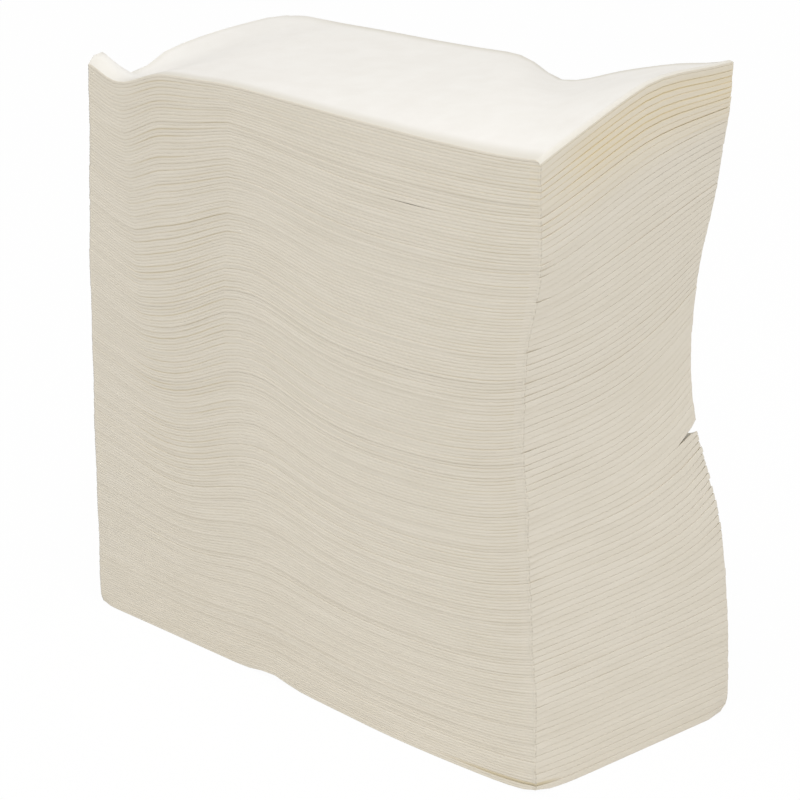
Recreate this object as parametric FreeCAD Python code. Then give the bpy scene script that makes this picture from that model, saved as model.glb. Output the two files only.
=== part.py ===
import FreeCAD
import Part
import math
import os

# A pile of folded paper guest napkins, standing flat on a table.
# Sizes are in millimetres. X runs along the long folded side, Y across the pile, Z up.
# The half fold of every napkin is at the +X end. The free leaf ends are at the -X end.

# One folded napkin
NAPKIN_LENGTH = 216.0
NAPKIN_WIDTH = 94.0
LEAF_THICKNESS = 0.875
LEAF_GAP = 0.2
FOLD_DEPTH = 1.3

# The pile
NAPKIN_COUNT = 100
NAPKIN_GAP = 0.275
NAPKINS_PER_GROUP = 2

# How the pile sags between its corners, seen on the long front side
SETTLE_SHARE = 0.567
SAG_LOW = 44.7
SAG_TOP = 5.0
SAG_REACH = 36.4
END_DROP_LOW = -22.0
END_DROP_TOP = 7.4
TROUGH_DEPTH = 12.6
TROUGH_PLACE_LOW = -34.9
TROUGH_PLACE_TOP = -102.2
TROUGH_WIDTH = 36.4
CREST_RISE = 17.9
CREST_TOP_LOSS = 17.9
CREST_PLACE = -26.8
CREST_WIDTH = 29.7
HUMP_RISE = 2.4
HUMP_PLACE = -74.0
HUMP_WIDTH = 13.7
HUMP_START = 0.7
BACK_DROP = 23.2
BACK_BEND = 0.7

# How the back right corner is fanned up
LIFT_HEIGHT = 15.9
LIFT_TOP_GAIN = 3.6
LIFT_START = 0.122
LIFT_FULL = 0.418
LIFT_BEND_TOP = 1.08
LIFT_BEND_LOW = 3.6
LIFT_BEND_POWER = 1.6
LIFT_BEND_EXTRA = 1.65
LIFT_ROUND = 0.98
LIFT_ROUND_START = 0.6
OPEN_GAP = 2.2
OPEN_GAP_SHARE = 0.42
TIP_DROP = 6.8
TIP_START = 0.827
TIP_ACROSS_START = 0.5
TIP_ALONG_START = 0.6

# How the ends lean in and out over the height
RIGHT_END_IN = 7.2
RIGHT_END_SHARE = 0.548
RIGHT_END_SPAN = 0.22
TOE_OUT = 1.2
TOE_SPAN = 0.078
LEFT_END_OUT = 1.7
LEFT_END_SPAN = 0.3
CORNER_IN = 13.4
CORNER_TOP_IN = 2.8
CORNER_SHARE = 0.471
CORNER_SPAN_UP = 0.355
CORNER_SPAN_DOWN = 0.157

# The crease that runs over the top from the near right corner to the back edge
CREASE_X = 29.0
CREASE_DEPTH = 8.5
CREASE_WIDTH = 10.5
CREASE_CORNER_WIDTH = 20.0
CREASE_START = 0.55
CREASE_BEND = 1.5

# The curled front corner at the open end of the top napkins, and the dip beside it
CURL_RISE = 8.2
CURL_IN = 5.0
CURL_LENGTH = 10.0
CURL_WIDTH = 6.5
CURL_DIP = 7.0
CURL_DIP_IN = 21.0
CURL_DIP_LENGTH = 20.0
CURL_DIP_WIDTH = 9.0
CURL_POWER = 8.0

# Places along and across a napkin where its facets meet, as shares of its length and width
LENGTH_STATIONS = (0.0, 0.13, 0.37, 0.63, 1.0)
WIDTH_STATIONS = (0.0, 0.6, 1.0)

NAPKIN_PITCH = 2 * LEAF_THICKNESS + LEAF_GAP + NAPKIN_GAP
PILE_HEIGHT = NAPKIN_COUNT * NAPKIN_PITCH


def bump(value, place, width):
    return math.exp(-(((value - place) / width) ** 2))


def smooth_step(value, start, end):
    t = min(max((value - start) / (end - start), 0.0), 1.0)
    return t * t * (3.0 - 2.0 * t)


def blend(low, top, share):
    return low + (top - low) * share


# Depth of the sag below an even pile, on the front side, at x and at a share of the height
def front_sag(x, share):
    from_right = NAPKIN_LENGTH / 2 - x
    middle = blend(SAG_LOW, SAG_TOP, share) * (1.0 - math.exp(-from_right / SAG_REACH))
    end = blend(END_DROP_LOW, END_DROP_TOP, share) * from_right / NAPKIN_LENGTH
    trough_x = blend(TROUGH_PLACE_LOW, TROUGH_PLACE_TOP, share)
    trough = TROUGH_DEPTH * bump(x, trough_x, TROUGH_WIDTH)
    crest = (CREST_RISE - CREST_TOP_LOSS * share**2) * bump(x, CREST_PLACE, CREST_WIDTH)
    hump = HUMP_RISE * smooth_step(share, HUMP_START, 1.0) * bump(x, HUMP_PLACE, HUMP_WIDTH)
    return middle + end + trough - crest - hump


# Height of the fanned back right corner above an even pile
def corner_lift(along, across, share):
    height = LIFT_HEIGHT * smooth_step(share, LIFT_START, LIFT_FULL)
    height += LIFT_TOP_GAIN * smooth_step(share, LIFT_FULL, 1.0)
    bend = LIFT_BEND_TOP + LIFT_BEND_LOW * ((1.0 - share) / (1.0 - LIFT_FULL)) ** LIFT_BEND_POWER
    if share > OPEN_GAP_SHARE:
        height += OPEN_GAP * (1.0 - smooth_step(share, OPEN_GAP_SHARE, 1.0))
    rounding = LIFT_ROUND * smooth_step(share, LIFT_ROUND_START, 1.0)
    reach = across * (1.0 + rounding * (1.0 - across))
    tip = TIP_DROP * smooth_step(share, TIP_START, 1.0) * smooth_step(across, TIP_ACROSS_START, 1.0)
    tip *= smooth_step(along, TIP_ALONG_START, 1.0)
    return height * reach**bend * along ** (bend + LIFT_BEND_EXTRA) - tip


# Depth of the crease over the top, at x and at a share of the width
def crease_depth(x, across, share):
    run = NAPKIN_LENGTH / 2 - CREASE_X
    from_corner = NAPKIN_LENGTH / 2 - x
    away = (across * NAPKIN_WIDTH * run - from_corner * NAPKIN_WIDTH) / math.hypot(run, NAPKIN_WIDTH)
    depth = CREASE_DEPTH * smooth_step(share, CREASE_START, 1.0) * across**CREASE_BEND
    width = CREASE_CORNER_WIDTH if away > 0.0 else CREASE_WIDTH
    return depth * bump(away, 0.0, width)


# Rise of the curled front corner at the open end, less the dip beside it
def corner_curl(x, across, share):
    from_end = x + NAPKIN_LENGTH / 2
    from_front = across * NAPKIN_WIDTH
    rise = CURL_RISE * bump(from_end, 0.0, CURL_LENGTH) * bump(from_front, CURL_IN, CURL_WIDTH)
    dip = CURL_DIP * bump(from_end, 0.0, CURL_DIP_LENGTH)
    dip *= bump(from_front, CURL_DIP_IN, CURL_DIP_WIDTH)
    return (rise - dip) * share**CURL_POWER


# Point of the pile at shares along and across a napkin, at a height in an even pile
def pile_point(along, across, level, beyond=0.0):
    share = level / PILE_HEIGHT
    x = (along - 0.5) * NAPKIN_LENGTH - FOLD_DEPTH * along + beyond
    settle = (1.0 - math.exp(-share / SETTLE_SHARE)) / (1.0 - math.exp(-1.0 / SETTLE_SHARE))
    back_sag = BACK_DROP * (1.0 - along) ** BACK_BEND
    z = level - settle * blend(front_sag(x, share), back_sag, across)
    z += corner_lift(along, across, share) + corner_curl(x, across, share)
    z -= crease_depth(x, across, share)
    right_in = RIGHT_END_IN * bump(share, RIGHT_END_SHARE, RIGHT_END_SPAN)
    right_in -= TOE_OUT * math.exp(-share / TOE_SPAN)
    left_out = LEFT_END_OUT * bump(share, RIGHT_END_SHARE, LEFT_END_SPAN)
    x -= blend(left_out, right_in, along)
    span = CORNER_SPAN_UP if share > CORNER_SHARE else CORNER_SPAN_DOWN
    corner_in = CORNER_IN * bump(share, CORNER_SHARE, span) + CORNER_TOP_IN * share
    y = (across - 0.5) * NAPKIN_WIDTH - corner_in * across * along**2
    return FreeCAD.Vector(x, y, z)


def facet(a, b, c):
    return Part.Face(Part.makePolygon([a, b, c, a]))


# Two facets between four points of neighbouring stations
def patch(a, b, c, d):
    return [facet(a, b, c), facet(a, c, d)]


# One side of a leaf: a grid of points along and across the napkin
def leaf_surface(level, end_level=None):
    rows = []
    for along in LENGTH_STATIONS:
        at = end_level if end_level is not None and along == LENGTH_STATIONS[-1] else level
        rows.append([pile_point(along, across, at) for across in WIDTH_STATIONS])
    return rows


def surface_facets(rows):
    faces = []
    for row, next_row in zip(rows, rows[1:]):
        for j in range(len(row) - 1):
            faces += patch(row[j], next_row[j], next_row[j + 1], row[j + 1])
    return faces


# The long side edges and the free end edge of one leaf
def leaf_edges(lower, upper):
    faces = []
    for i in range(len(lower) - 1):
        for j in (0, len(WIDTH_STATIONS) - 1):
            faces += patch(lower[i][j], lower[i + 1][j], upper[i + 1][j], upper[i][j])
    for j in range(len(WIDTH_STATIONS) - 1):
        faces += patch(lower[0][j], lower[0][j + 1], upper[0][j + 1], upper[0][j])
    return faces


# The outside of the half fold, where the lower leaf turns back into the upper leaf
def half_fold(bottom, inner, top, level):
    ridge = [pile_point(1.0, across, level, FOLD_DEPTH) for across in WIDTH_STATIONS]
    faces = []
    for j in range(len(WIDTH_STATIONS) - 1):
        faces += patch(bottom[j], bottom[j + 1], ridge[j + 1], ridge[j])
        faces += patch(ridge[j], ridge[j + 1], top[j + 1], top[j])
    for j in (0, len(WIDTH_STATIONS) - 1):
        faces.append(facet(bottom[j], ridge[j], inner[j]))
        faces.append(facet(ridge[j], top[j], inner[j]))
    return faces


# A napkin: a lower and an upper leaf with a thin slit between them, joined by the half fold
def folded_napkin(index):
    base = index * NAPKIN_PITCH
    fold_level = base + LEAF_THICKNESS + LEAF_GAP / 2
    bottom = leaf_surface(base)
    slit_floor = leaf_surface(base + LEAF_THICKNESS, fold_level)
    slit_roof = leaf_surface(base + LEAF_THICKNESS + LEAF_GAP, fold_level)
    top = leaf_surface(base + 2 * LEAF_THICKNESS + LEAF_GAP)
    faces = []
    for surface in (bottom, slit_floor, slit_roof, top):
        faces += surface_facets(surface)
    faces += leaf_edges(bottom, slit_floor)
    faces += leaf_edges(slit_roof, top)
    faces += half_fold(bottom[-1], slit_floor[-1], top[-1], fold_level)
    skin = Part.makeCompound(faces)
    skin.sewShape()
    napkin = Part.Solid(skin.Shells[0])
    if napkin.Volume < 0:
        napkin.reverse()
    return napkin


napkins = [folded_napkin(index) for index in range(NAPKIN_COUNT)]

# The pile is centred on its own outline
box = Part.makeCompound(napkins).BoundBox
centre = FreeCAD.Vector(-box.Center.x, -box.Center.y, -box.ZMin)
for napkin in napkins:
    napkin.translate(centre)

os.makedirs("parts", exist_ok=True)
for first in range(0, NAPKIN_COUNT, NAPKINS_PER_GROUP):
    group = napkins[first : first + NAPKINS_PER_GROUP]
    name = "napkins_%03d_%03d" % (first + 1, first + len(group))
    Part.makeCompound(group).exportStep("parts/" + name + ".step")
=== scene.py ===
import math
import random
import bpy
import numpy as np
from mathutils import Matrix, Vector


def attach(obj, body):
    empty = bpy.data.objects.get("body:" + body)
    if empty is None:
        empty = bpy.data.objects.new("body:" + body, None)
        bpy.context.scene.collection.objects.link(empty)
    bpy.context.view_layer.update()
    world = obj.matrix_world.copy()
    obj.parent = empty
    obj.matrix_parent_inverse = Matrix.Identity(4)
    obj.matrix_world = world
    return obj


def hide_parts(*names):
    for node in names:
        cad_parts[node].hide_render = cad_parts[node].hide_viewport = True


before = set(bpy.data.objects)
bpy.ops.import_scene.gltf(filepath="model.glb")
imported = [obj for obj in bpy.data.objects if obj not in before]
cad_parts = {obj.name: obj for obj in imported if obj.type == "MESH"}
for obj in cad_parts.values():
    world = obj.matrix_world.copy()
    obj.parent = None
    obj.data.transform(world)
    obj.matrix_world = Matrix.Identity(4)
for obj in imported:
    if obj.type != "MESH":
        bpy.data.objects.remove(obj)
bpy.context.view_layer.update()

MM = 0.001

# One folded napkin, in millimetres, as in the part
NAPKIN_LENGTH = 216.0
NAPKIN_WIDTH = 94.0
NAPKIN_COUNT = 100
NAPKIN_PITCH = 2.225
NAPKINS_PER_GROUP = 2
PILE_HEIGHT = NAPKIN_COUNT * NAPKIN_PITCH
FOLD_DEPTH = 1.3

# How the pile sags and leans, as in the part
SETTLE_SHARE = 0.567
SAG_LOW = 44.7
SAG_TOP = 5.0
SAG_REACH = 36.4
END_DROP_LOW = -22.0
END_DROP_TOP = 7.4
TROUGH_DEPTH = 12.6
TROUGH_PLACE_LOW = -34.9
TROUGH_PLACE_TOP = -102.2
TROUGH_WIDTH = 36.4
CREST_RISE = 17.9
CREST_TOP_LOSS = 17.9
CREST_PLACE = -26.8
CREST_WIDTH = 29.7
HUMP_RISE = 2.4
HUMP_PLACE = -74.0
HUMP_WIDTH = 13.7
HUMP_START = 0.7
BACK_DROP = 23.2
BACK_BEND = 0.7
LIFT_HEIGHT = 15.9
LIFT_TOP_GAIN = 3.6
LIFT_START = 0.122
LIFT_FULL = 0.418
LIFT_BEND_TOP = 1.08
LIFT_BEND_LOW = 3.6
LIFT_BEND_POWER = 1.6
LIFT_BEND_EXTRA = 1.65
LIFT_ROUND = 0.98
LIFT_ROUND_START = 0.6
OPEN_GAP = 2.2
OPEN_GAP_SHARE = 0.42
TIP_DROP = 6.8
TIP_START = 0.827
TIP_ACROSS_START = 0.5
TIP_ALONG_START = 0.6
RIGHT_END_IN = 7.2
RIGHT_END_SHARE = 0.548
RIGHT_END_SPAN = 0.22
TOE_OUT = 1.2
TOE_SPAN = 0.078
LEFT_END_OUT = 1.7
LEFT_END_SPAN = 0.3
CORNER_IN = 13.4
CORNER_TOP_IN = 2.8
CORNER_SHARE = 0.471
CORNER_SPAN_UP = 0.355
CORNER_SPAN_DOWN = 0.157
CREASE_X = 29.0
CREASE_DEPTH = 8.5
CREASE_WIDTH = 10.5
CREASE_CORNER_WIDTH = 20.0
CREASE_START = 0.55
CREASE_BEND = 1.5
CURL_RISE = 8.2
CURL_IN = 5.0
CURL_LENGTH = 10.0
CURL_WIDTH = 6.5
CURL_DIP = 7.0
CURL_DIP_IN = 21.0
CURL_DIP_LENGTH = 20.0
CURL_DIP_WIDTH = 9.0
CURL_POWER = 8.0

# How closely the leaves and the napkins lie
LEAF_SLIT = 0.01
NAPKIN_SLIT = 0.006

# The long folds: how round they are, and how far the shade of the edge reaches from them
EDGE_ROUND = 0.1
EDGE_POWER = 2.3
SIDE_BAND = 0.25

# How far the top napkin is rounded down at its long sides and at the half fold, and within which reach
TOP_ROUND = 0.25
TOP_ROUND_REACH = 0.5
END_ROUND = 1.3
END_ROUND_REACH = 1.0

# The half fold: its reach in half pitches, how square it is, the heights of its points, and its ridge
FOLD_STRETCH = 1.35
FOLD_POWER = 24.0
FOLD_STEPS = (0.99, 0.95, 0.85)
RIDGE_SHARE = 0.4775

# The plies that show at the open ends, and the small steps between them
PLY_COUNT = 3
PLY_GROOVE = 0.22
PLY_OUT = 0.12

# Random waves along the edges and faces: their lengths, starts, slant and heights
FULL_TURN = 6.283
WAVE_LENGTHS = (150.0, 70.0, 33.0)
WAVE_STRETCH = (0.8, 1.25)
WAVE_STARTS = (0.0, 6.28)
WAVE_SLANT = 0.6
FACE_WAVE = 0.13
TOP_WAVE = 0.10
EDGE_WAVE = 0.05

# Random slips of each napkin, and how little of them is left at the open end
SLIP_ALONG = 0.06
SLIP_ACROSS = 0.05
SLIP_TURN = 0.0004
LEAF_SLIP = 0.03
LEAF_UNEVEN = 0.035
OPEN_END_SLIP = 0.3
OPEN_END_START = 8.0
OPEN_END_FULL = 50.0

# Near bottom corner, where the lowest napkins curl off the table
TOE_CURL = 1.2
TOE_CURL_REACH = 11.0
TOE_CURL_HEIGHT = 25.0

# How the foot of the front side bulges out, and the small arch in it
FOOT_OUT = 3.0
FOOT_OUT_X = 48.0
FOOT_OUT_REACH = 48.0
FOOT_OUT_HEIGHT = 24.0
FOOT_ARCH = 2.0
FOOT_ARCH_X = -19.0
FOOT_ARCH_REACH = 9.0
FOOT_ARCH_DEPTH = 12.0
FOOT_ARCH_HEIGHT = 14.0

# How far the lowest corners are pressed in, how wide and how high, and each corner's share in x, y and z
TOE_PRESS = 1.7
TOE_PRESS_REACH = 3.5
TOE_PRESS_HEIGHT = 3.0
NEAR_PRESS = (-1.0, 1.0, 0.0)
BACK_PRESS = (-1.0, -1.0, 0.6)
LEFT_PRESS = (0.4, 0.4, 0.3)

# Places where two napkins stand apart: napkin below, x, y, reach in x, reach in y, width of the gap
OPENINGS = (
    (0, 104.0, -47.0, 20.0, 7.0, 0.15),
    (1, 104.0, -47.0, 16.0, 6.0, 0.1),
    (41, 108.0, 47.0, 14.0, 3.2, 1.7),
    (89, 50.0, -47.0, 9.0, 8.0, 0.3),
)

# The opened gap closes within this reach in y, farther along x, by the rise of some napkins below it
GAP_REACH = 3.0
GAP_STRETCH = 4.5
GAP_FILL_COUNT = 4

# How far the corners around this gap hang down, how wide, and over which share of the height
NOTCH_DROP = 3.1
NOTCH_REACH = 15.0
NOTCH_SPAN = 0.085

# Sharp buckles in the front side: x at the foot, x at the top, rise, and where in the height they grow
KINK_REACH = 11.0
KINK_ROUND = 0.7
KINK_FADE_START = 0.93
KINKS = (
    (-62.0, -92.0, -2.6, 0.45, 0.75),
    (-38.0, -38.0, 1.5, 0.45, 0.65),
    (-66.0, -75.0, 1.1, 0.62, 0.85),
)

# Soft rises of the uppermost napkins: x, y, reach in x, reach in y, rise
RISE_POWER = 6.0
RISES = (
    (-108.0, -40.0, 8.0, 4.0, -0.5),
    (-108.0, -27.0, 22.0, 8.0, 2.9),
    (-100.0, 12.0, 50.0, 26.0, 1.5),
    (-50.0, 47.0, 35.0, 25.0, 0.9),
    (-108.0, 47.0, 6.0, 6.0, -1.2),
    (86.0, 46.0, 16.0, 16.0, 1.5),
)

# Shifts of the near right corner: share of the height, reach in height, shift in x
NEAR_REACH = 22.0
NEAR_SHIFTS = ((0.82, 0.06, 1.7), (0.71, 0.04, -0.9), (0.46, 0.05, 1.1), (0.24, 0.05, -0.8))
NEAR_JITTER = 0.16
NEAR_JITTER_REACH = 6.0

# Share of the height where the back right corners stand out like teeth, how far, and their taper
TEETH_START = 0.25
TEETH_SIZE = 0.08
TEETH_TAPER = 0.14
TEETH_REACH = 2.0

# Painted shade lines in the gaps between leaves and napkins: where the bands lie, how strong the lines
# are, and their width in napkin pitches
BANDS_X = 48.0
BANDS_FADE = (12.0, 34.0)
BANDS_TONE = 0.22
LEAF_TONE = 0.02
LEAF_TONE_NEAR = 0.42
LEAF_LINE_WIDTH = 0.13
NAPKIN_TONE = 0.06
NAPKIN_TONE_NEAR = 0.28
NAPKIN_LINE_WIDTH = 0.15
SOFT_LINE_WIDTH = 0.35
FOOT_CREASE_LEVEL = 1.2 * NAPKIN_PITCH

# Shades of the paper: its faces and edges between two near shades, the edges darker partly as painted
# shade of the pile's sides, and the painted shade colours that the tones turn them into
FIBRE_SCALE = 2.2
FACE_LIGHT = (0.935, 0.92, 0.89)
FACE_DARK = (0.905, 0.885, 0.85)
# Painted shade along the rims of the leaf faces
FACE_PAINTED_SHADE = {"Rim Shade": (0.77, 0.74, 0.67)}
# Darker than the faces: partly the creamier look of the folds and ends, partly painted shade of the
# pile's sides
EDGE_LIGHT = (0.78, 0.732, 0.642)
EDGE_DARK = (0.74, 0.69, 0.595)
EDGE_PAINTED_SHADE = {
    # Painted warm shade in the gaps between the uppermost napkins
    "Warm Shade": (0.77, 0.65, 0.42),
    # Painted shade in the gaps between leaves and napkins, and in the foot crease
    "Line": (0.58, 0.49, 0.30),
    # Painted shadow line down the near right corner
    "Corner Shadow": (0.56, 0.52, 0.44),
}

# The camera: turn and rise in degrees, focus in pixels, distance in metres, and its target in mm
CAMERA_TURN = 45.652
CAMERA_RISE = 22.215
CAMERA_SENSOR = 36.0
CAMERA_FOCUS_PIXELS = 5345.0
PICTURE_PIXELS = 800.0
CAMERA_DISTANCE = 1.795
CAMERA_TARGET = (21.1, -24.1, 109.0)

# The table and the room, in metres
TABLE_HALF = 6.0
TABLE_TOP = -0.0002
TABLE_COLOUR = (0.98, 0.98, 0.98)
TABLE_WHITE_SHARE = 0.97
ROOM_COLOUR = (1.0, 0.99, 0.97, 1.0)
ROOM_STRENGTH = 0.50
LAMP_TARGET = (0.0, 0.0, 0.1)

dice = random.Random(20)


def bump(value, place, width):
    """A round bump of height 1 at a place."""
    return np.exp(-(((value - place) / width) ** 2))


def smooth_step(value, start, end):
    """A soft step from 0 to 1 between start and end."""
    t = np.clip((value - start) / (end - start), 0.0, 1.0)
    return t * t * (3.0 - 2.0 * t)


def blend(low, top, share):
    """A value between low and top."""
    return low + (top - low) * share


def front_sag(x, share):
    """Depth of the sag on the front side, at x and at a share of the height."""
    from_right = np.maximum(NAPKIN_LENGTH / 2 - x, 0.0)
    middle = blend(SAG_LOW, SAG_TOP, share) * (1.0 - np.exp(-from_right / SAG_REACH))
    end = blend(END_DROP_LOW, END_DROP_TOP, share) * from_right / NAPKIN_LENGTH
    trough_x = blend(TROUGH_PLACE_LOW, TROUGH_PLACE_TOP, share)
    trough = TROUGH_DEPTH * bump(x, trough_x, TROUGH_WIDTH)
    crest = (CREST_RISE - CREST_TOP_LOSS * share**2) * bump(x, CREST_PLACE, CREST_WIDTH)
    hump = HUMP_RISE * smooth_step(share, HUMP_START, 1.0) * bump(x, HUMP_PLACE, HUMP_WIDTH)
    return middle + end + trough - crest - hump


def lift_bend(share):
    """How sharply the fanned corner bends up, at a share of the height."""
    return LIFT_BEND_TOP + LIFT_BEND_LOW * ((1.0 - share) / (1.0 - LIFT_FULL)) ** LIFT_BEND_POWER


def corner_lift(along, across, share):
    """Height of the fanned back right corner above an even pile."""
    height = LIFT_HEIGHT * smooth_step(share, LIFT_START, LIFT_FULL)
    height = height + LIFT_TOP_GAIN * smooth_step(share, LIFT_FULL, 1.0)
    bend = lift_bend(share)
    opened = OPEN_GAP * (1.0 - smooth_step(share, OPEN_GAP_SHARE, 1.0))
    height = height + np.where(share > OPEN_GAP_SHARE, opened, 0.0)
    rounding = LIFT_ROUND * smooth_step(share, LIFT_ROUND_START, 1.0)
    reach = across * (1.0 + rounding * (1.0 - across))
    tip = TIP_DROP * smooth_step(share, TIP_START, 1.0) * smooth_step(across, TIP_ACROSS_START, 1.0)
    tip = tip * smooth_step(along, TIP_ALONG_START, 1.0)
    return height * reach**bend * along ** (bend + LIFT_BEND_EXTRA) - tip


def crease_depth(x, across, share):
    """Depth of the crease over the top, at x and at a share of the width."""
    run = NAPKIN_LENGTH / 2 - CREASE_X
    from_corner = NAPKIN_LENGTH / 2 - x
    away = NAPKIN_WIDTH * (across * run - from_corner) / math.hypot(run, NAPKIN_WIDTH)
    depth = CREASE_DEPTH * smooth_step(share, CREASE_START, 1.0) * across**CREASE_BEND
    width = np.where(away > 0.0, CREASE_CORNER_WIDTH, CREASE_WIDTH)
    return depth * bump(away, 0.0, width)


def corner_curl(x, across, share):
    """Rise of the curled front corner at the open end, less the dip beside it."""
    from_end = x + NAPKIN_LENGTH / 2
    from_front = across * NAPKIN_WIDTH
    rise = CURL_RISE * bump(from_end, 0.0, CURL_LENGTH) * bump(from_front, CURL_IN, CURL_WIDTH)
    dip = CURL_DIP * bump(from_end, 0.0, CURL_DIP_LENGTH)
    dip = dip * bump(from_front, CURL_DIP_IN, CURL_DIP_WIDTH)
    return (rise - dip) * share**CURL_POWER


def pile_points(along, across, level, beyond):
    """Points of the pile in mm, at shares along and across a napkin and a height in an even pile."""
    share = np.clip(level / PILE_HEIGHT, 0.0, 1.0)
    x = (along - 0.5) * NAPKIN_LENGTH - FOLD_DEPTH * along + beyond
    settle = (1.0 - np.exp(-share / SETTLE_SHARE)) / (1.0 - math.exp(-1.0 / SETTLE_SHARE))
    back_sag = BACK_DROP * (1.0 - along) ** BACK_BEND
    z = level - settle * blend(front_sag(x, share), back_sag, across)
    z = z + corner_lift(along, across, share) + corner_curl(x, across, share)
    z = z - crease_depth(x, across, share)
    right_in = RIGHT_END_IN * bump(share, RIGHT_END_SHARE, RIGHT_END_SPAN)
    right_in = right_in - TOE_OUT * np.exp(-share / TOE_SPAN)
    left_out = LEFT_END_OUT * bump(share, RIGHT_END_SHARE, LEFT_END_SPAN)
    x = x - blend(left_out, right_in, along)
    span = np.where(share > CORNER_SHARE, CORNER_SPAN_UP, CORNER_SPAN_DOWN)
    corner_in = CORNER_IN * bump(share, CORNER_SHARE, span) + CORNER_TOP_IN * share
    y = (across - 0.5) * NAPKIN_WIDTH - corner_in * across * along**2
    return x, y, z


def kink_rise(x, across, share):
    """Height of the sharp buckles, which fade towards the back."""
    total = 0.0
    for foot_x, top_x, rise, start, full in KINKS:
        away = np.sqrt((x - blend(foot_x, top_x, share)) ** 2 + KINK_ROUND**2)
        total = total + rise * smooth_step(share, start, full) * np.exp(-away / KINK_REACH)
    fading = 1.0 - smooth_step(share, KINK_FADE_START, 1.0)
    return total * fading * (1.0 - np.clip(across, 0.0, 1.0)) ** 2


def pile_centre():
    """Half way between the ends of the pile, which is where the part has its zero in x."""
    levels = (np.arange(NAPKIN_COUNT) + RIDGE_SHARE) * NAPKIN_PITCH
    ones = np.ones(NAPKIN_COUNT)
    right = pile_points(ones, 0.0 * ones, levels, FOLD_DEPTH)[0].max()
    left = pile_points(0.0 * ones, 0.0 * ones, levels, 0.0)[0].min()
    return (right + left) / 2


CENTRE_X = pile_centre()


class Wander:
    """A slow random wave along a paper edge."""

    def __init__(self, size):
        self.parts = []
        for length in WAVE_LENGTHS:
            height = size * dice.uniform(-1.0, 1.0) * (length / WAVE_LENGTHS[0]) ** 0.5
            stretched = dice.uniform(*WAVE_STRETCH) * length
            self.parts.append((height, stretched, dice.uniform(*WAVE_STARTS)))

    def at(self, x, y=0.0):
        """Height of the wave at a place on the sheet."""
        total = 0.0
        for height, length, start in self.parts:
            total = total + height * np.sin(FULL_TURN * (x + WAVE_SLANT * y) / length + start)
        return total


# The napkin that lies above the opened gap
ABOVE_GAP = round(OPEN_GAP_SHARE * NAPKIN_COUNT)


def face_waves():
    """The meeting faces of the napkins, each a slow wave that both neighbours share."""
    waves = [Wander(0.0)]
    waves += [Wander(FACE_WAVE) for count in range(NAPKIN_COUNT - 1)]
    waves.append(Wander(TOP_WAVE))
    waves[ABOVE_GAP] = Wander(0.0)
    return waves


FACE_WAVES = face_waves()
SLIP_X = Wander(0.55)
SLIP_Y = Wander(0.35)


def face_level(index, x, y):
    """Height in the even pile of the meeting face under napkin number index."""
    return index * NAPKIN_PITCH + FACE_WAVES[index].at(x, y)


def opening(index, x, y):
    """Half of the gap that stands open above napkin number index."""
    total = 0.0
    for below, at_x, at_y, reach_x, reach_y, width in OPENINGS:
        if below == index:
            total = total + width / 2 * bump(x, at_x, reach_x) * bump(y, at_y, reach_y)
    return total


def gap_filling(index, x, y):
    """How far the face under napkin number index rises to close the opened gap inside the pile."""
    part = (index - ABOVE_GAP + GAP_FILL_COUNT) / GAP_FILL_COUNT
    if part <= 0.0 or part > 1.0:
        return 0.0
    along = np.clip(x / NAPKIN_LENGTH + 0.5, 0.0, 1.0)
    across = np.clip(y / NAPKIN_WIDTH + 0.5, 0.0, 1.0)
    bend = lift_bend(OPEN_GAP_SHARE)
    gap = OPEN_GAP * across**bend * along ** (bend + LIFT_BEND_EXTRA)
    from_corner = np.hypot((NAPKIN_LENGTH / 2 - x) / GAP_STRETCH, NAPKIN_WIDTH / 2 - y)
    return part * gap * (1.0 - bump(from_corner, 0.0, GAP_REACH))


def length_steps():
    """Steps along a leaf from the open end to the slit end, closer together near both ends."""
    ends = np.array([0.0, 0.35, 0.9, 2.0, 4.0])
    curled = np.linspace(6.5, 38.0, 12)
    middle = np.linspace(44.0, NAPKIN_LENGTH - 12.0, 25)
    slit_end = NAPKIN_LENGTH - fold_reach()
    last = np.array([slit_end - 4.0, slit_end - 1.5, slit_end - 0.4])
    return np.concatenate([ends, curled, middle, last, [slit_end]])


def fold_reach():
    """How far the half fold reaches past the end of the slit."""
    return FOLD_STRETCH * NAPKIN_PITCH / 2


def width_steps():
    """Places across the paper from the front fold, closer together on the rounded folds."""
    rounded = np.array([0.0, 0.03, 0.09, 0.25, 0.75])
    curled = np.linspace(2.5, 14.5, 4)
    inner = np.linspace(19.0, NAPKIN_WIDTH - 2.5, 10)
    other = NAPKIN_WIDTH - rounded[::-1]
    return np.concatenate([rounded, curled, inner, other])


def edge_share(distance):
    """Share of the full leaf thickness at a distance from its long fold."""
    t = np.clip(1.0 - distance / EDGE_ROUND, 0.0, 1.0)
    return (1.0 - t**EDGE_POWER) ** (1.0 / EDGE_POWER)


def strip_path():
    """The folded strip from the lower leaf's open end, round the half fold, to the upper leaf's.

    Each row is a length, a height from 0 to 1 in the napkin, and the outward direction in both.
    """
    steps = length_steps()
    slit_end = steps[-1]
    slit = LEAF_SLIT / NAPKIN_PITCH
    middle = (0.5 + slit / 2) / 2
    rows = [(x, 0.5 - middle, 0.0, -1.0) for x in steps]
    heights = [-step for step in FOLD_STEPS] + list(FOLD_STEPS[::-1])
    for out_z in heights:
        out_x = (1.0 - abs(out_z) ** FOLD_POWER) ** (1.0 / FOLD_POWER)
        reach = FOLD_STRETCH * NAPKIN_PITCH
        rows.append((slit_end + reach * middle * out_x, 0.5 + middle * out_z, out_x, out_z))
    rows += [(x, 0.5 + middle, 0.0, 1.0) for x in steps[::-1]]
    return np.array(rows), (0.5 - slit / 2) / 2


PATH, HALF_LEAF = strip_path()
ACROSS = width_steps()


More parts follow.
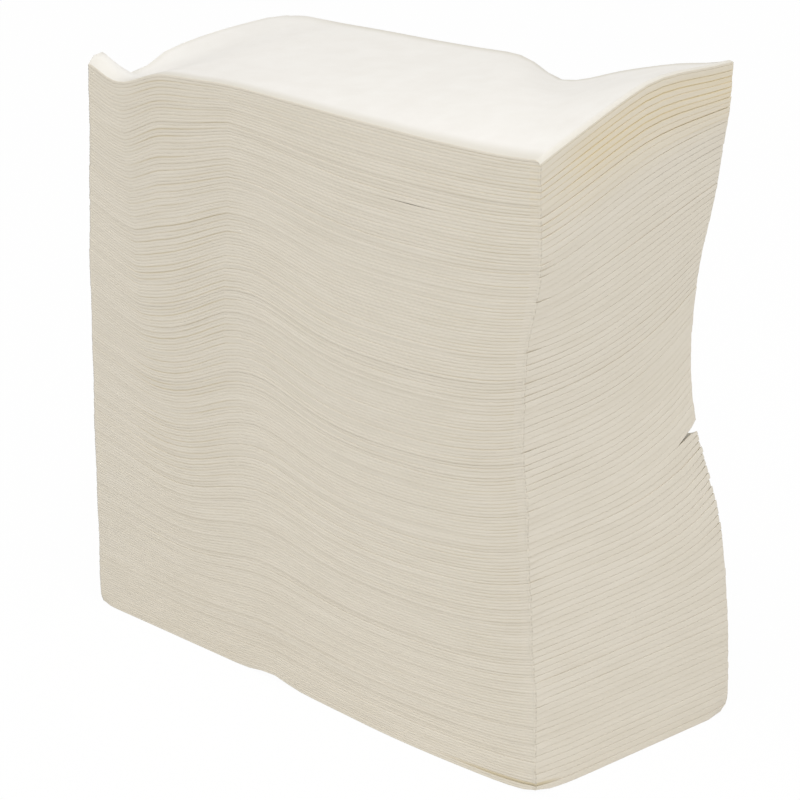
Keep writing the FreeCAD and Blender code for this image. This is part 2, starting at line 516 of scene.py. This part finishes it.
def napkin_grid(side, leaf_mid):
    """Points of the outer (side 1) or inner (side -1) face of the strip, before the pile bends it."""
    length = PATH[:, 0][:, None]
    height = PATH[:, 1][:, None]
    out_x = PATH[:, 2][:, None]
    out_z = PATH[:, 3][:, None]
    distance = np.minimum(ACROSS, NAPKIN_WIDTH - ACROSS)[None, :]
    thick = side * HALF_LEAF * edge_share(distance)
    x = length + thick * out_x * FOLD_STRETCH * NAPKIN_PITCH
    q = height + thick * out_z
    y = np.repeat(ACROSS[None, :], len(PATH), axis=0)
    shift = leaf_mid * (1.0 - np.abs(2.0 * q - 1.0))
    return x + 0.0 * y, y, q + shift


def end_cap(outer, inner):
    """Rows of points over the open end of a leaf, with a small step for each ply."""
    rows = []
    for turn in range(1, 2 * PLY_COUNT):
        t = turn / (2.0 * PLY_COUNT)
        groove = 0.0 if turn % 2 else PLY_GROOVE
        x = outer[0] * (1 - t) + inner[0] * t - PLY_OUT + groove
        y = outer[1] * (1 - t) + inner[1] * t
        q = outer[2] * (1 - t) + inner[2] * t
        rows.append((x, y, q))
    return rows


def quads(first, rows, columns, flip):
    """Faces of a grid of points, counted from first."""
    faces = []
    for i in range(rows - 1):
        for j in range(columns - 1):
            a = first + i * columns + j
            face = (a, a + 1, a + columns + 1, a + columns)
            faces.append(face[::-1] if flip else face)
    return faces


def napkin_faces():
    """The faces of every napkin, which all have the same net."""
    rows = len(PATH)
    columns = len(ACROSS)
    faces = quads(0, rows, columns, False)
    faces += quads(rows * columns, rows, columns, True)
    first = 2 * rows * columns
    for end in range(2):
        outer = (rows - 1) * columns * end
        inner = rows * columns + outer
        starts = [outer] + [first + r * columns for r in range(2 * PLY_COUNT - 1)] + [inner]
        first += (2 * PLY_COUNT - 1) * columns
        for low, high in zip(starts, starts[1:]):
            for j in range(columns - 1):
                face = (low + j, high + j, high + j + 1, low + j + 1)
                faces.append(face if end else face[::-1])
    return np.array(faces, dtype=np.int32)


FACES = napkin_faces()


def edge_faces(flat, fold_top):
    """Which faces of a napkin are edges: long folds, the half fold up to fold_top, and open ends."""
    middle = flat[FACES].mean(axis=1)
    from_fold = np.minimum(middle[:, 1], NAPKIN_WIDTH - middle[:, 1])
    slit_end = NAPKIN_LENGTH - fold_reach()
    in_fold = (middle[:, 0] > slit_end) & (middle[:, 2] < fold_top)
    return (from_fold < SIDE_BAND) | in_fold | (middle[:, 0] < 0.0)


def has_teeth(index):
    """Whether a napkin is one of those whose back right corner stands out like a tooth."""
    return TEETH_START < index / NAPKIN_COUNT < OPEN_GAP_SHARE


class Slips:
    """How one napkin lies a little off its even place, at random."""

    def __init__(self, index):
        self.leaf_mid = dice.uniform(-LEAF_UNEVEN, LEAF_UNEVEN)
        self.front = Wander(EDGE_WAVE)
        self.back = Wander(EDGE_WAVE)
        self.x = dice.gauss(0.0, SLIP_ALONG) + SLIP_X.at(index * NAPKIN_PITCH)
        self.y = dice.gauss(0.0, SLIP_ACROSS) + SLIP_Y.at(index * NAPKIN_PITCH)
        self.turn = dice.gauss(0.0, SLIP_TURN)
        self.corner = dice.gauss(0.0, TEETH_SIZE) if has_teeth(index) else 0.0
        self.leaf = dice.gauss(0.0, LEAF_SLIP)
        self.jitter = (dice.gauss(0.0, NEAR_JITTER), dice.gauss(0.0, NEAR_JITTER))


def strip_points(leaf_mid):
    """Length, place across and share of the height in the napkin, for every point of the strip."""
    grids = [napkin_grid(side, leaf_mid) for side in (1.0, -1.0)]
    caps = []
    for end in (0, -1):
        outer = [part[end] for part in grids[0]]
        inner = [part[end] for part in grids[1]]
        caps += end_cap(outer, inner)
    points = []
    for axis in range(3):
        points.append(np.concatenate([g[axis].ravel() for g in grids] + [c[axis] for c in caps]))
    return points


def slipped(index, slips, x, y, q):
    """Length and place across of the points once the napkin has slipped and turned."""
    across = y / NAPKIN_WIDTH
    edge_move = slips.front.at(x) * (1.0 - across) + slips.back.at(x) * across
    pull = slips.corner * np.clip(across, 0.0, 1.0) * np.clip(x / NAPKIN_LENGTH, 0.0, 1.0) ** 2
    from_near = np.hypot(NAPKIN_LENGTH - x, y)
    near_move = np.where(q > 0.5, slips.jitter[0], slips.jitter[1])
    near_move = near_move * bump(from_near, 0.0, NEAR_JITTER_REACH)
    for share, reach, shift in NEAR_SHIFTS:
        at_height = shift * bump(index / NAPKIN_COUNT, share, reach)
        near_move = near_move + at_height * bump(from_near, 0.0, NEAR_REACH)
    new_x = x + slips.x - slips.turn * (y - NAPKIN_WIDTH / 2) + pull + near_move
    uneven = edge_move + slips.y + slips.leaf * np.where(q > 0.5, 1.0, -1.0)
    uneven = uneven * blend(OPEN_END_SLIP, 1.0, smooth_step(x, OPEN_END_START, OPEN_END_FULL))
    new_y = y + slips.turn * (x - NAPKIN_LENGTH / 2) + uneven + pull
    return new_x, new_y


def paper_level(index, x, y, q, at_x, at_y, from_back):
    """Height of the points in the even pile, between the faces that the napkin shares."""
    low = face_level(index, at_x, at_y) + NAPKIN_SLIT / 2 + opening(index - 1, at_x, at_y)
    high = face_level(index + 1, at_x, at_y) - NAPKIN_SLIT / 2 - opening(index, at_x, at_y)
    taper = TEETH_TAPER * bump(from_back, 0.0, TEETH_REACH) if has_teeth(index) else 0.0
    level = low + (high - low) * (0.5 + (q - 0.5) * (1.0 - taper))
    if index == NAPKIN_COUNT - 1:
        from_fold = np.minimum(y, NAPKIN_WIDTH - y)
        level = level - TOP_ROUND * bump(from_fold, 0.0, TOP_ROUND_REACH) * smooth_step(q, 0.6, 1.0)
        from_end = np.maximum(NAPKIN_LENGTH - x, 0.0)
        level = level - END_ROUND * bump(from_end, 0.0, END_ROUND_REACH) * smooth_step(q, 0.45, 1.0)
    return level


def foot_form(px, py, pz, across, at_x, new_y, level, corners):
    """The form of the lowest napkins: a curled corner, pressed corners, a bulge and a small arch."""
    curl = TOE_CURL * bump(corners[0], 0.0, TOE_CURL_REACH)
    pz = pz + curl * np.exp(-level / TOE_CURL_HEIGHT)
    for from_corner, (side_x, side_y, up) in zip(corners, (NEAR_PRESS, BACK_PRESS, LEFT_PRESS)):
        press = TOE_PRESS * bump(from_corner, 0.0, TOE_PRESS_REACH)
        press = press * np.exp(-level / TOE_PRESS_HEIGHT)
        px = px + side_x * press
        py = py + side_y * press
        pz = pz + up * press
    foot = bump(at_x, FOOT_OUT_X, FOOT_OUT_REACH) * np.exp(-level / FOOT_OUT_HEIGHT)
    py = py - FOOT_OUT * foot * (1.0 - np.clip(across, 0.0, 1.0)) ** 3
    arch = bump(at_x, FOOT_ARCH_X, FOOT_ARCH_REACH) * np.exp(-level / FOOT_ARCH_HEIGHT)
    pz = pz + FOOT_ARCH * arch * np.exp(-np.maximum(new_y, 0.0) / FOOT_ARCH_DEPTH)
    return px, py, pz


def piled(index, x, y, q, new_x, new_y):
    """The points of one napkin in the pile, in millimetres."""
    at_x = new_x - NAPKIN_LENGTH / 2
    at_y = new_y - NAPKIN_WIDTH / 2
    from_near = np.hypot(NAPKIN_LENGTH - new_x, new_y)
    from_back = np.hypot(NAPKIN_LENGTH - new_x, NAPKIN_WIDTH - new_y)
    from_left = np.hypot(new_x, new_y)
    level = paper_level(index, x, y, q, at_x, at_y, from_back)
    share = np.clip(level / PILE_HEIGHT, 0.0, 1.0)
    across = y / NAPKIN_WIDTH

    along = np.clip(new_x / NAPKIN_LENGTH, 0.0, 1.0)
    beyond = new_x - along * (NAPKIN_LENGTH - FOLD_DEPTH)
    px, py, pz = pile_points(along, np.clip(new_y / NAPKIN_WIDTH, 0.0, 1.0), level, beyond)
    py = py + new_y - np.clip(new_y, 0.0, NAPKIN_WIDTH)
    corners = (from_near, from_back, from_left)
    px, py, pz = foot_form(px, py, pz, across, at_x, new_y, level, corners)
    for rise_x, rise_y, reach_x, reach_y, rise in RISES:
        at_place = bump(at_x, rise_x, reach_x) * bump(at_y, rise_y, reach_y)
        pz = pz + rise * at_place * share**RISE_POWER
    pz = pz + kink_rise(x - NAPKIN_LENGTH / 2, across, share)
    drop = NOTCH_DROP * bump(from_back, 0.0, NOTCH_REACH)
    pz = pz - drop * bump(share, OPEN_GAP_SHARE, NOTCH_SPAN)
    if index < ABOVE_GAP:
        fill_low = gap_filling(index, at_x, at_y)
        fill_high = gap_filling(index + 1, at_x, at_y)
        pz = pz + fill_low + (fill_high - fill_low) * np.clip(q, 0.0, 1.0)
    return np.stack([px - CENTRE_X, py, pz], axis=1)


def napkin_mesh(index, materials):
    """One folded napkin of the pile, with its own small slips and waves."""
    slips = Slips(index)
    x, y, q = strip_points(slips.leaf_mid)
    new_x, new_y = slipped(index, slips, x, y, q)
    points = piled(index, x, y, q, new_x, new_y) * MM

    mesh = bpy.data.meshes.new("napkin_%03d" % (index + 1))
    for material in materials:
        mesh.materials.append(material)
    mesh.vertices.add(len(points))
    mesh.vertices.foreach_set("co", points.astype(np.float32).ravel())
    mesh.loops.add(FACES.size)
    mesh.loops.foreach_set("vertex_index", FACES.ravel())
    mesh.polygons.add(len(FACES))
    mesh.polygons.foreach_set("loop_start", np.arange(0, FACES.size, 4, dtype=np.int32))
    mesh.update(calc_edges=True)
    mesh.polygons.foreach_set("use_smooth", [True] * len(mesh.polygons))
    place = mesh.attributes.new("paper_place", "FLOAT_VECTOR", "POINT")
    flat = np.stack([x, y, (index + q) * NAPKIN_PITCH], axis=1)
    place.data.foreach_set("vector", flat.astype(np.float32).ravel())
    mesh.update()
    # The top of the uppermost half fold is seen from above, so there it counts as face
    fold_top = 0.95 if index == NAPKIN_COUNT - 1 else 2.0
    edges = edge_faces(np.stack([x, y, q], axis=1), fold_top)
    mesh.polygons.foreach_set("material_index", edges.astype(np.int32))
    return mesh


def node(tree, kind, **values):
    """A new node with its settings."""
    made = tree.nodes.new(kind)
    for name, value in values.items():
        setattr(made, name, value)
    return made


def calc(tree, operation, *values):
    """A math node on one to three values, each a number or a socket."""
    made = node(tree, "ShaderNodeMath", operation=operation)
    for socket, value in zip(made.inputs, values):
        if isinstance(value, float):
            socket.default_value = value
        else:
            tree.links.new(value, socket)
    return made.outputs[0]


def product(tree, total, *others):
    """The product of several values."""
    for other in others:
        total = calc(tree, "MULTIPLY", total, other)
    return total


def fade(tree, value, start, end, low, high):
    """A soft step from low to high while the value goes from start to end."""
    made = node(tree, "ShaderNodeMapRange", interpolation_type="SMOOTHSTEP")
    for name, number in zip(("From Min", "From Max", "To Min", "To Max"), (start, end, low, high)):
        made.inputs[name].default_value = number
    tree.links.new(value, made.inputs["Value"])
    return made.outputs["Result"]


def fibre_group():
    """Short paper fibres: an uneven shade and a fine height, measured on the flat sheet."""
    tree = bpy.data.node_groups.new("paper_fibres", "ShaderNodeTree")
    tree.interface.new_socket("Place", in_out="INPUT", socket_type="NodeSocketVector")
    tree.interface.new_socket("Fibre Scale", in_out="INPUT", socket_type="NodeSocketFloat")
    tree.interface.new_socket("Shade", in_out="OUTPUT", socket_type="NodeSocketFloat")
    tree.interface.new_socket("Height", in_out="OUTPUT", socket_type="NodeSocketFloat")
    start = tree.nodes.new("NodeGroupInput")
    end = tree.nodes.new("NodeGroupOutput")
    fine = node(tree, "ShaderNodeTexNoise")
    fine.inputs["Detail"].default_value = 3.0
    fine.inputs["Roughness"].default_value = 0.65
    cloud = node(tree, "ShaderNodeTexNoise")
    cloud.inputs["Scale"].default_value = 0.11
    cloud.inputs["Detail"].default_value = 4.0
    link = tree.links.new
    link(start.outputs["Place"], fine.inputs["Vector"])
    link(start.outputs["Fibre Scale"], fine.inputs["Scale"])
    link(start.outputs["Place"], cloud.inputs["Vector"])
    cloudy = calc(tree, "MULTIPLY", cloud.outputs["Fac"], 0.65)
    shade = calc(tree, "MULTIPLY_ADD", fine.outputs["Fac"], 0.35, cloudy)
    link(shade, end.inputs["Shade"])
    link(fine.outputs["Fac"], end.inputs["Height"])
    return tree


FIBRES = fibre_group()


def long_noise(tree, place):
    """A noise that changes slowly along the sheets and fast from sheet to sheet."""
    stretch = node(tree, "ShaderNodeVectorMath", operation="MULTIPLY")
    stretch.inputs[1].default_value = (0.02, 0.02, 0.7)
    tree.links.new(place, stretch.inputs[0])
    noise = node(tree, "ShaderNodeTexNoise")
    noise.inputs["Scale"].default_value = 1.0
    noise.inputs["Detail"].default_value = 2.0
    tree.links.new(stretch.outputs[0], noise.inputs["Vector"])
    return noise.outputs["Fac"]


def gap_line_shade(tree, x, y, z, from_leaf, from_napkin, on_front, uneven):
    """Painted shade in the gaps between leaves and napkins: strongest near the right corner and in bands
    at the left.
    """
    near = fade(tree, x, NAPKIN_LENGTH - 60.0, NAPKIN_LENGTH - 10.0, 0.0, 1.0)
    from_bands = calc(tree, "ABSOLUTE", calc(tree, "SUBTRACT", x, BANDS_X))
    bands = fade(tree, from_bands, *BANDS_FADE, 1.0, 0.0)
    bands = product(tree, bands, fade(tree, z, 60.0, 120.0, 0.3, 1.0))

    leaf = calc(tree, "MULTIPLY_ADD", near, LEAF_TONE_NEAR, LEAF_TONE)
    leaf = product(tree, leaf, on_front, fade(tree, from_leaf, 0.0, LEAF_LINE_WIDTH, 1.0, 0.0))
    napkin = calc(tree, "MULTIPLY_ADD", near, NAPKIN_TONE_NEAR, NAPKIN_TONE)
    napkin = calc(tree, "ADD", napkin, calc(tree, "MULTIPLY", bands, BANDS_TONE))
    napkin = product(tree, napkin, fade(tree, from_napkin, 0.0, NAPKIN_LINE_WIDTH, 1.0, 0.0))
    soft = product(tree, bands, fade(tree, from_napkin, 0.0, SOFT_LINE_WIDTH, BANDS_TONE, 0.0))
    napkin = calc(tree, "ADD", napkin, soft)
    napkin = product(tree, napkin, fade(tree, x, 3.0, 26.0, 0.2, 1.0))
    on_right = product(
        tree,
        calc(tree, "SUBTRACT", 1.0, on_front),
        fade(tree, y, NAPKIN_WIDTH - 12.0, NAPKIN_WIDTH - 3.0, 1.0, 0.4),
        fade(tree, z, PILE_HEIGHT - 45.0, PILE_HEIGHT - 15.0, 0.15, 0.7),
    )
    napkin = product(tree, napkin, calc(tree, "ADD", on_front, on_right))
    return product(
        tree,
        calc(tree, "ADD", leaf, napkin),
        product(
            tree,
            fade(tree, uneven, 0.35, 0.68, 0.1, 1.1),
            fade(tree, z, 0.0, 110.0, 0.3, 1.0),
        ),
        fade(tree, z, PILE_HEIGHT - 1.2, PILE_HEIGHT - 0.4, 1.0, 0.0),
    )


def foot_crease_shade(tree, x, y, z):
    """Painted shade in the crease above the lowest napkin at the near right corner."""
    from_crease = calc(tree, "ABSOLUTE", calc(tree, "SUBTRACT", z, FOOT_CREASE_LEVEL))
    return product(
        tree,
        fade(tree, from_crease, 0.1, 1.0, 0.75, 0.0),
        fade(tree, x, NAPKIN_LENGTH - 50.0, NAPKIN_LENGTH - 15.0, 0.0, 1.0),
        fade(tree, y, 2.0, 14.0, 1.0, 0.0),
    )


def corner_shadow_line(tree, x, y, from_leaf, uneven):
    """Painted shadow line, thin and grey, down the near right corner."""
    from_corner = calc(tree, "ABSOLUTE", calc(tree, "SUBTRACT", y, 0.35))
    return product(
        tree,
        fade(tree, from_corner, 0.1, 0.5, 1.0, 0.0),
        fade(tree, x, NAPKIN_LENGTH - 1.4, NAPKIN_LENGTH - 0.6, 0.0, 1.0),
        fade(tree, uneven, 0.3, 0.7, 0.3, 1.0),
        fade(tree, from_leaf, 0.05, 0.3, 1.0, 0.4),
    )


def warm_gap_shade(tree, y, z, from_napkin, on_front, uneven):
    """Painted warm shade in the gaps between the uppermost napkins, weaker over the rest of them, mostly
    on the right side.
    """
    return product(
        tree,
        fade(tree, z, PILE_HEIGHT - 32.0, PILE_HEIGHT - 12.0, 0.0, 1.0),
        fade(tree, from_napkin, 0.02, 0.24, 1.0, 0.4),
        fade(tree, z, PILE_HEIGHT - 5.0, PILE_HEIGHT - 1.0, 1.0, 0.2),
        fade(tree, on_front, 0.0, 1.0, 1.0, 0.15),
        fade(tree, uneven, 0.3, 0.65, 0.5, 1.0),
        fade(tree, y, 4.0, 30.0, 0.3, 1.0),
    )


def rim_shade(tree, x, y):
    """Painted shade along the rim of a leaf, weaker at its open end."""
    to_side = calc(tree, "MINIMUM", y, calc(tree, "SUBTRACT", NAPKIN_WIDTH, y))
    to_end = calc(tree, "MINIMUM", x, calc(tree, "SUBTRACT", NAPKIN_LENGTH, x))
    at_side = fade(tree, to_side, 0.0, 7.0, 1.0, 0.0)
    at_end = fade(tree, to_end, 0.0, 3.5, 0.95, 0.0)
    rim = calc(tree, "MAXIMUM", at_side, at_end)
    return product(tree, rim, fade(tree, x, 8.0, 40.0, 0.45, 1.0))


def painted_shade_group():
    """How much painted shade a place on the paper gets: lines in the gaps, the near corner, the warm top
    and the rim.
    """
    tree = bpy.data.node_groups.new("painted_fold_shade", "ShaderNodeTree")
    tree.interface.new_socket("Place", in_out="INPUT", socket_type="NodeSocketVector")
    start = tree.nodes.new("NodeGroupInput")
    parts = tree.nodes.new("ShaderNodeSeparateXYZ")
    tree.links.new(start.outputs["Place"], parts.inputs[0])
    x, y, z = parts.outputs
    height = calc(tree, "FRACT", calc(tree, "DIVIDE", z, NAPKIN_PITCH))
    from_leaf = calc(tree, "ABSOLUTE", calc(tree, "SUBTRACT", height, 0.5))
    from_napkin = calc(tree, "SUBTRACT", 0.5, from_leaf)
    on_front = fade(tree, x, NAPKIN_LENGTH - 5.0, NAPKIN_LENGTH - 4.0, 1.0, 0.0)
    uneven = long_noise(tree, start.outputs["Place"])
    line = gap_line_shade(tree, x, y, z, from_leaf, from_napkin, on_front, uneven)
    tones = {
        # The line shade also takes the painted shade of the foot crease
        "Line": calc(tree, "MAXIMUM", line, foot_crease_shade(tree, x, y, z)),
        "Corner Shadow": corner_shadow_line(tree, x, y, from_leaf, uneven),
        "Warm Shade": warm_gap_shade(tree, y, z, from_napkin, on_front, uneven),
        "Rim Shade": rim_shade(tree, x, y),
    }
    for name in tones:
        tree.interface.new_socket(name, in_out="OUTPUT", socket_type="NodeSocketFloat")
    end = tree.nodes.new("NodeGroupOutput")
    for name, tone in tones.items():
        tree.links.new(tone, end.inputs[name])
    return tree


PAINTED_SHADE = painted_shade_group()


def paper_material(name, light, dark, tones, stretch, bump_height):
    """Uncoated paper between two near shades, with its fibres along the sheet."""
    material = bpy.data.materials.new(name)
    material.use_nodes = True
    tree = material.node_tree
    link = tree.links.new
    shader = tree.nodes["Principled BSDF"]
    shader.inputs["Roughness"].default_value = 0.9
    shader.inputs["Specular IOR Level"].default_value = 0.2
    place = node(tree, "ShaderNodeAttribute", attribute_name="paper_place")
    scaled = node(tree, "ShaderNodeVectorMath", operation="MULTIPLY")
    scaled.inputs[1].default_value = stretch
    link(place.outputs["Vector"], scaled.inputs[0])
    fibres = node(tree, "ShaderNodeGroup", node_tree=FIBRES)
    fibres.inputs["Fibre Scale"].default_value = FIBRE_SCALE
    link(scaled.outputs[0], fibres.inputs["Place"])
    ramp = node(tree, "ShaderNodeValToRGB")
    ramp.color_ramp.elements[0].position = 0.35
    ramp.color_ramp.elements[0].color = (*dark, 1.0)
    ramp.color_ramp.elements[1].position = 0.65
    ramp.color_ramp.elements[1].color = (*light, 1.0)
    link(fibres.outputs["Shade"], ramp.inputs["Fac"])
    lines = node(tree, "ShaderNodeGroup", node_tree=PAINTED_SHADE)
    link(place.outputs["Vector"], lines.inputs["Place"])
    toned = ramp.outputs["Color"]
    # Each tone lays painted shade over the paper colour
    for mask, tone in tones.items():
        layer = node(tree, "ShaderNodeMix", data_type="RGBA")
        layer.inputs["B"].default_value = (*tone, 1.0)
        link(lines.outputs[mask], layer.inputs["Factor"])
        link(toned, layer.inputs["A"])
        toned = layer.outputs["Result"]
    link(toned, shader.inputs["Base Color"])
    rough = node(tree, "ShaderNodeBump")
    rough.inputs["Distance"].default_value = bump_height
    rough.inputs["Strength"].default_value = 0.5
    link(fibres.outputs["Height"], rough.inputs["Height"])
    link(rough.outputs["Normal"], shader.inputs["Normal"])
    return material


def paper_face():
    """The white upper and lower side of a leaf."""
    return paper_material("paper_face", FACE_LIGHT, FACE_DARK, FACE_PAINTED_SHADE, (1.0, 1.0, 1.0), 0.00010)


def shaded_paper_edge():
    """The folds and cut ends: creamier, and darker than the faces as painted shade of the pile's sides,
    with the painted shade lines between the leaves.
    """
    return paper_material("shaded_paper_edge", EDGE_LIGHT, EDGE_DARK, EDGE_PAINTED_SHADE, (0.35, 0.35, 3.0), 0.00006)


def stage_material(name, colour, camera_white):
    """A plain pale surface that the camera sees a little whiter than it is lit."""
    material = bpy.data.materials.new(name)
    material.use_nodes = True
    tree = material.node_tree
    link = tree.links.new
    shader = tree.nodes["Principled BSDF"]
    shader.inputs["Base Color"].default_value = (*colour, 1.0)
    shader.inputs["Roughness"].default_value = 1.0
    shader.inputs["Specular IOR Level"].default_value = 0.0
    white = node(tree, "ShaderNodeEmission")
    white.inputs["Color"].default_value = (1.0, 1.0, 1.0, 1.0)
    path = node(tree, "ShaderNodeLightPath")
    share = node(tree, "ShaderNodeMath", operation="MULTIPLY")
    share.inputs[1].default_value = camera_white
    link(path.outputs["Is Camera Ray"], share.inputs[0])
    mix = node(tree, "ShaderNodeMixShader")
    link(share.outputs[0], mix.inputs["Fac"])
    link(shader.outputs["BSDF"], mix.inputs[1])
    link(white.outputs["Emission"], mix.inputs[2])
    link(mix.outputs["Shader"], tree.nodes["Material Output"].inputs["Surface"])
    return material


def build_pile():
    """All the napkins, bottom to top, each standing for its solid in the part."""
    materials = (paper_face(), shaded_paper_edge())
    for index in range(NAPKIN_COUNT):
        mesh = napkin_mesh(index, materials)
        napkin = bpy.data.objects.new(mesh.name, mesh)
        bpy.context.scene.collection.objects.link(napkin)
        first = index // NAPKINS_PER_GROUP * NAPKINS_PER_GROUP + 1
        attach(napkin, "root")
        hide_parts("napkins_%03d_%03d" % (first, first + NAPKINS_PER_GROUP - 1))


def build_stage():
    """A white table under the pile and a white world."""
    mesh = bpy.data.meshes.new("table")
    signs = ((-1, -1), (1, -1), (1, 1), (-1, 1))
    corners = [(x * TABLE_HALF, y * TABLE_HALF, TABLE_TOP) for x, y in signs]
    mesh.from_pydata(corners, [], [(0, 1, 2, 3)])
    table = bpy.data.objects.new("table", mesh)
    bpy.context.scene.collection.objects.link(table)
    table.data.materials.append(stage_material("table_white", TABLE_COLOUR, TABLE_WHITE_SHARE))

    world = bpy.data.worlds.new("studio")
    bpy.context.scene.world = world
    world.use_nodes = True
    tree = world.node_tree
    link = tree.links.new
    room = tree.nodes["Background"]
    room.inputs["Color"].default_value = ROOM_COLOUR
    room.inputs["Strength"].default_value = ROOM_STRENGTH
    seen = node(tree, "ShaderNodeBackground")
    seen.inputs["Color"].default_value = (1.0, 1.0, 1.0, 1.0)
    path = node(tree, "ShaderNodeLightPath")
    mix = node(tree, "ShaderNodeMixShader")
    link(path.outputs["Is Camera Ray"], mix.inputs["Fac"])
    link(room.outputs["Background"], mix.inputs[1])
    link(seen.outputs["Background"], mix.inputs[2])
    link(mix.outputs["Shader"], tree.nodes["World Output"].inputs["Surface"])


def add_lamp(name, place, size, watts, colour):
    """A square soft lamp that points at the pile."""
    lamp = bpy.data.lights.new(name, "AREA")
    lamp.shape = "SQUARE"
    lamp.size = size
    lamp.energy = watts
    lamp.color = colour
    holder = bpy.data.objects.new(name, lamp)
    holder.location = place
    holder.rotation_euler = (Vector(LAMP_TARGET) - Vector(place)).to_track_quat("-Z", "Y").to_euler()
    bpy.context.scene.collection.objects.link(holder)


def build_camera():
    """A long lens at the photograph's height and turn."""
    turn = math.radians(CAMERA_TURN)
    rise = math.radians(CAMERA_RISE)
    target = (Vector(CAMERA_TARGET) - Vector((CENTRE_X, 0.0, 0.0))) * MM
    level = math.cos(rise)
    back = Vector((math.sin(turn) * level, -math.cos(turn) * level, math.sin(rise)))
    camera = bpy.data.cameras.new("camera")
    camera.sensor_width = CAMERA_SENSOR
    camera.lens = CAMERA_FOCUS_PIXELS / PICTURE_PIXELS * CAMERA_SENSOR
    camera.clip_start = 0.1
    camera.clip_end = 50.0
    holder = bpy.data.objects.new("camera", camera)
    holder.location = target + back * CAMERA_DISTANCE
    holder.rotation_euler = (-back).to_track_quat("-Z", "Y").to_euler()
    bpy.context.scene.collection.objects.link(holder)
    bpy.context.scene.camera = holder


build_pile()
build_stage()
add_lamp("lamp_above", (0.3, -0.6, 1.9), size=1.6, watts=20.0, colour=(1.0, 0.99, 0.97))
add_lamp("lamp_right", (1.9, -0.7, 1.0), size=1.4, watts=7.0, colour=(1.0, 0.985, 0.95))
build_camera()
bpy.context.scene.view_settings.view_transform = "Standard"
